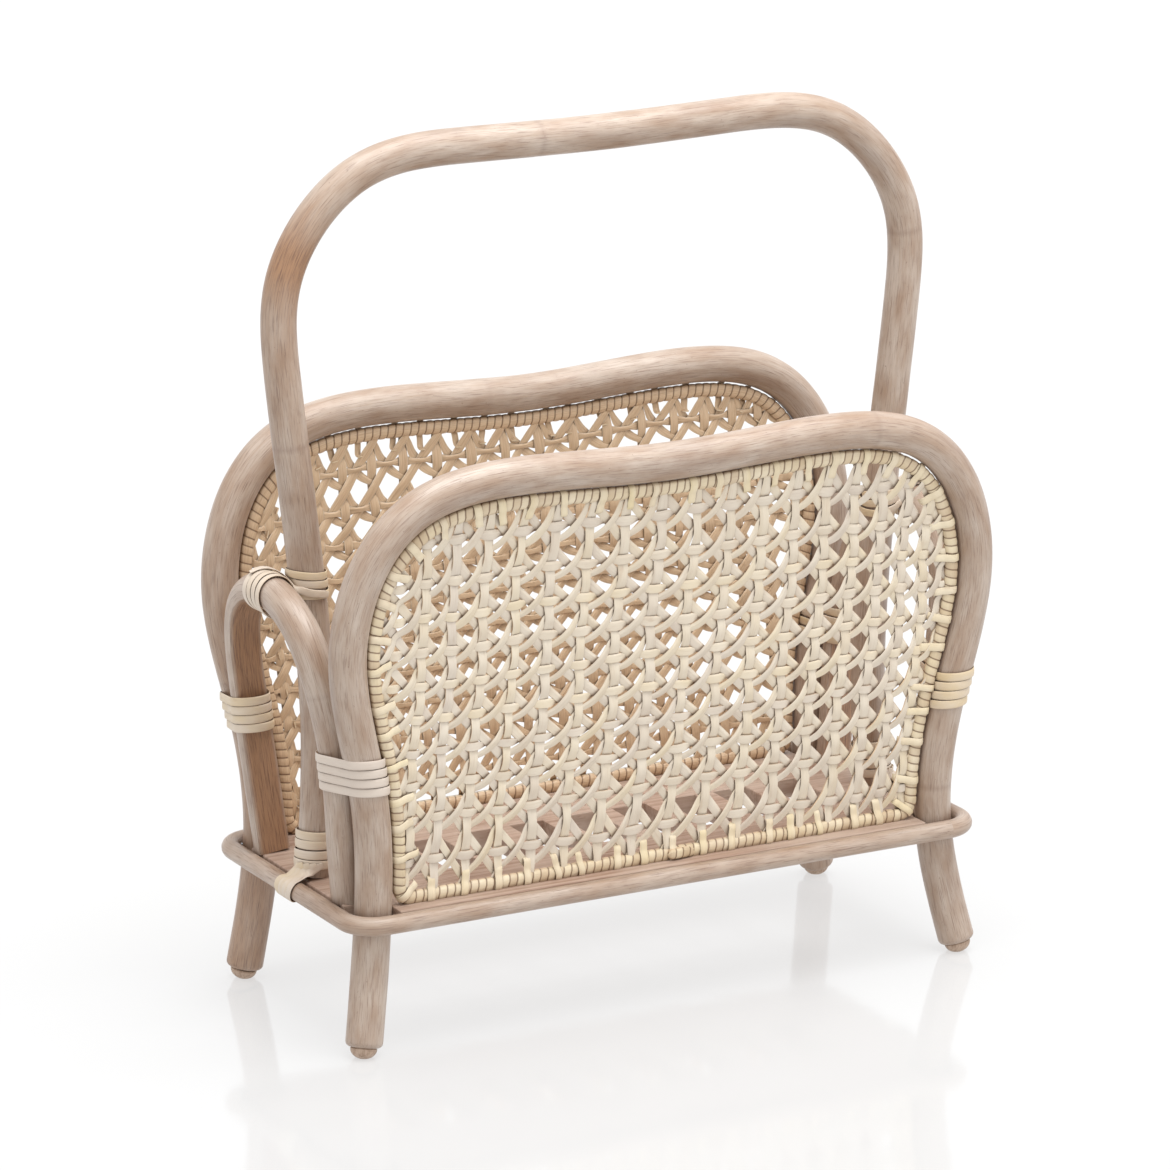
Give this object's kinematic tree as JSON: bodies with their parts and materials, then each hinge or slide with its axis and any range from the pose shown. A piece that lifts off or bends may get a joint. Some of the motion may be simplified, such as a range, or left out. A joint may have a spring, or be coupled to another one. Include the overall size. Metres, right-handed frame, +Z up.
{
  "type": "magazine rack",
  "caption": "Free-standing rattan magazine rack: two bent pole frames with woven cane panels, a slotted base board, lashed end arches and a tall carrying handle",
  "frame": {"origin": "on the floor below the middle of the rack, the lowest plane of the feet being z = 0", "axes": "+X runs along the rack's length, the front panel faces -Y, +Z is up"},
  "size_m": [0.4414, 0.1954, 0.5021],
  "materials": {
    "washed_rattan": "satin, white-washed rattan pole",
    "cane_web": "satin, natural cane peel, six-way weave",
    "cane_border": "satin, cane peel wound on a core",
    "cane_lashing": "satin, cane peel lashing",
    "stained_board": "matt stained plywood",
    "turned_wood": "matt turned wood",
    "fasteners": "plain steel"
  },
  "bodies": {
    "root": {"back_cane_web": "cane_web", "back_frame": "washed_rattan", "back_left_arch_screw": "fasteners", "back_left_corner_nail": "fasteners", "back_left_foot_plug": "turned_wood", "back_left_lashing": "cane_lashing", "back_left_side_brad": "fasteners", "back_left_sill_brad": "fasteners", "back_panel_border": "cane_border", "back_right_arch_screw": "fasteners", "back_right_corner_nail": "fasteners", "back_right_foot_plug": "turned_wood", "back_right_lashing": "cane_lashing", "back_right_side_brad": "fasteners", "back_right_sill_brad": "fasteners", "base_board": "stained_board", "base_rim": "washed_rattan", "carry_handle": "washed_rattan", "front_cane_web": "cane_web", "front_frame": "washed_rattan", "front_left_arch_screw": "fasteners", "front_left_corner_nail": "fasteners", "front_left_foot_plug": "turned_wood", "front_left_lashing": "cane_lashing", "front_left_side_brad": "fasteners", "front_left_sill_brad": "fasteners", "front_panel_border": "cane_border", "front_right_arch_screw": "fasteners", "front_right_corner_nail": "fasteners", "front_right_foot_plug": "turned_wood", "front_right_lashing": "cane_lashing", "front_right_side_brad": "fasteners", "front_right_sill_brad": "fasteners", "left_apex_lashing": "cane_lashing", "left_end_arch": "washed_rattan", "left_foot_lashing": "cane_lashing", "left_handle_screw": "fasteners", "left_rim_lashing": "cane_lashing", "right_apex_lashing": "cane_lashing", "right_end_arch": "washed_rattan", "right_foot_lashing": "cane_lashing", "right_handle_screw": "fasteners", "right_rim_lashing": "cane_lashing"}
  },
  "joints": []
}
